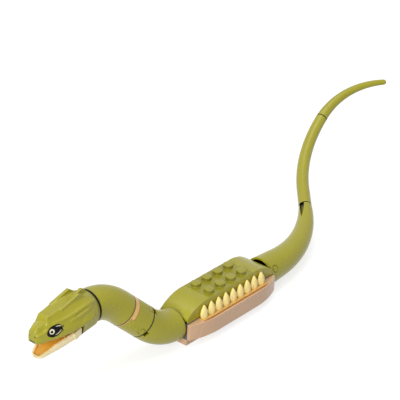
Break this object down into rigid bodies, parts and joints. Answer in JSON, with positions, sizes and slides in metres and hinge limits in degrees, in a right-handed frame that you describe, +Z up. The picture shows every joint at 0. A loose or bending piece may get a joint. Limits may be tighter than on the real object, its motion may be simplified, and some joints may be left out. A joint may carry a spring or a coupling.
{
  "type": "jointed toy snake",
  "caption": "Brick-built toy snake with a studded body, toothed side panels, bent swivelling neck tubes, hinged jaw and tapering swivelling tail.",
  "frame": {"origin": "underside of the belly plate, below the middle of the body", "axes": "+X along the body towards the head, +Y to the snake's left, +Z up"},
  "size_m": [0.3055, 0.0657, 0.0505],
  "materials": {
    "olive_plastic": "smooth moulded plastic, olive green",
    "tan_plastic": "smooth moulded plastic, brownish tan",
    "light_tan_plastic": "smooth moulded plastic, light tan",
    "tooth_plastic": "smooth moulded plastic, pale yellow",
    "black_plastic": "smooth moulded plastic, black",
    "grey_plastic": "smooth moulded plastic, dark grey"
  },
  "bodies": {
    "body": {"belly_plate": "tan_plastic", "front_joint_brick": "grey_plastic", "rear_joint_brick": "grey_plastic", "front_core_brick": "grey_plastic", "rear_core_brick": "grey_plastic", "lower_back_plate": "olive_plastic", "studded_back_plate": "olive_plastic", "front_slope": "olive_plastic", "rear_slope": "olive_plastic", "tooth_plate_left_rear": "tooth_plastic", "tooth_plate_left_middle": "tooth_plastic", "tooth_plate_left_front": "tooth_plastic", "tooth_plate_right_rear": "tooth_plastic", "tooth_plate_right_middle": "tooth_plastic", "tooth_plate_right_front": "tooth_plastic", "hull_panel_left": "tan_plastic", "hull_panel_right": "tan_plastic", "neck_pin": "black_plastic", "tail_pin": "black_plastic"},
    "rear_neck": {"neck_elbow_rear": "olive_plastic"},
    "front_neck": {"neck_round_brick": "olive_plastic", "neck_ring": "light_tan_plastic", "neck_axle": "black_plastic", "neck_elbow_front": "olive_plastic", "head_pin": "black_plastic"},
    "head": {"head_shell": "olive_plastic", "palate_teeth": "tooth_plastic"},
    "jaw": {"lower_jaw": "tooth_plastic"},
    "tail_root": {"tail_base": "olive_plastic", "tail_middle_pin": "black_plastic"},
    "tail_mid": {"tail_middle": "olive_plastic", "tail_tip_pin": "black_plastic"},
    "tail_end": {"tail_tip": "olive_plastic"}
  },
  "joints": [
    {"name": "neck_base_swivel", "type": "hinge", "parent": "body", "child": "rear_neck", "pos_m": [0.03215, 0, 0.009], "axis": [1, 0, 0], "continuous": true},
    {"name": "neck_middle_swivel", "type": "hinge", "parent": "rear_neck", "child": "front_neck", "pos_m": [0.05157, -0.00345, 0.01767], "axis": [0.7071, -0.2614, 0.657], "continuous": true},
    {"name": "head_swivel", "type": "hinge", "parent": "front_neck", "child": "head", "pos_m": [0.08004, -0.01024, 0.03474], "axis": [1, 0, 0], "continuous": true},
    {"name": "jaw_hinge", "type": "hinge", "parent": "head", "child": "jaw", "pos_m": [0.09139, -0.01024, 0.03174], "axis": [0, 1, 0], "range_deg": [-11.3, 20]},
    {"name": "tail_base_swivel", "type": "hinge", "parent": "body", "child": "tail_root", "pos_m": [-0.03215, 0, 0.009], "axis": [-1, 0, 0], "continuous": true},
    {"name": "tail_middle_swivel", "type": "hinge", "parent": "tail_root", "child": "tail_mid", "pos_m": [-0.09322, -0.01824, 0.01578], "axis": [-0.7133, -0.657, 0.2443], "continuous": true},
    {"name": "tail_tip_swivel", "type": "hinge", "parent": "tail_mid", "child": "tail_end", "pos_m": [-0.14636, -0.04889, 0.03814], "axis": [-0.88, -0.1458, 0.4521], "continuous": true}
  ]
}
